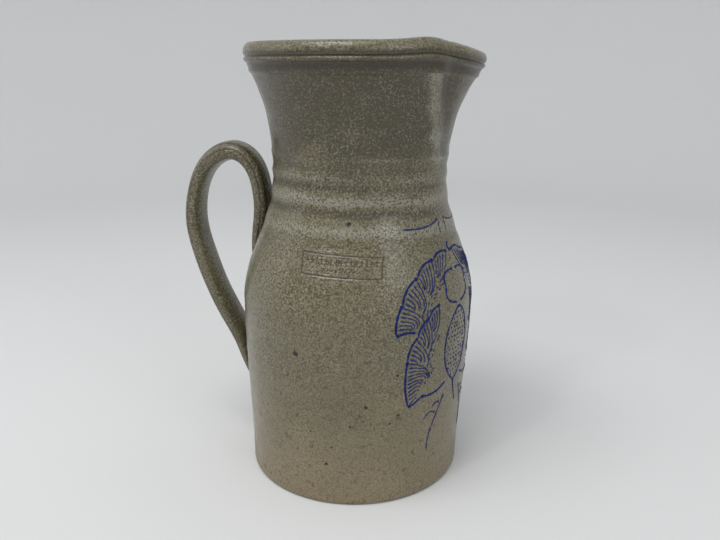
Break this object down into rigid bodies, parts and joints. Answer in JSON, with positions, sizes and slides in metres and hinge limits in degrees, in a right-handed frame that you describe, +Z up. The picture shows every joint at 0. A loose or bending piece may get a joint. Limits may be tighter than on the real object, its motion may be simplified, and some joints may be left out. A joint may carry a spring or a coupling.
{
  "type": "stoneware pitcher",
  "caption": "Tall salt-glazed stoneware pitcher with a collared rim, a pulled pouring lip, a pulled strap handle and raised cobalt slip decoration.",
  "frame": {"origin": "centre of the flat foot, on the surface the pitcher stands on", "axes": "+Z up from the foot to the rim, +X towards the pouring lip, handle on -X"},
  "size_m": [0.1816, 0.1378, 0.2554],
  "materials": {
    "salt_glazed_stoneware": "salt glaze, grey-green to tan, satin with fine orange-peel speckle",
    "luting_slip": "salt-glazed joint slip",
    "cobalt_slip": "raised cobalt slip under salt glaze"
  },
  "bodies": {
    "root": {"thrown_body": "salt_glazed_stoneware", "pulled_handle": "salt_glazed_stoneware", "upper_luting_slip": "luting_slip", "lower_luting_slip": "luting_slip", "cobalt_petal_edges": "cobalt_slip", "cobalt_petal_veins": "cobalt_slip", "cobalt_seed_pod": "cobalt_slip", "cobalt_seeds": "cobalt_slip", "cobalt_sprigs": "cobalt_slip"}
  },
  "joints": []
}
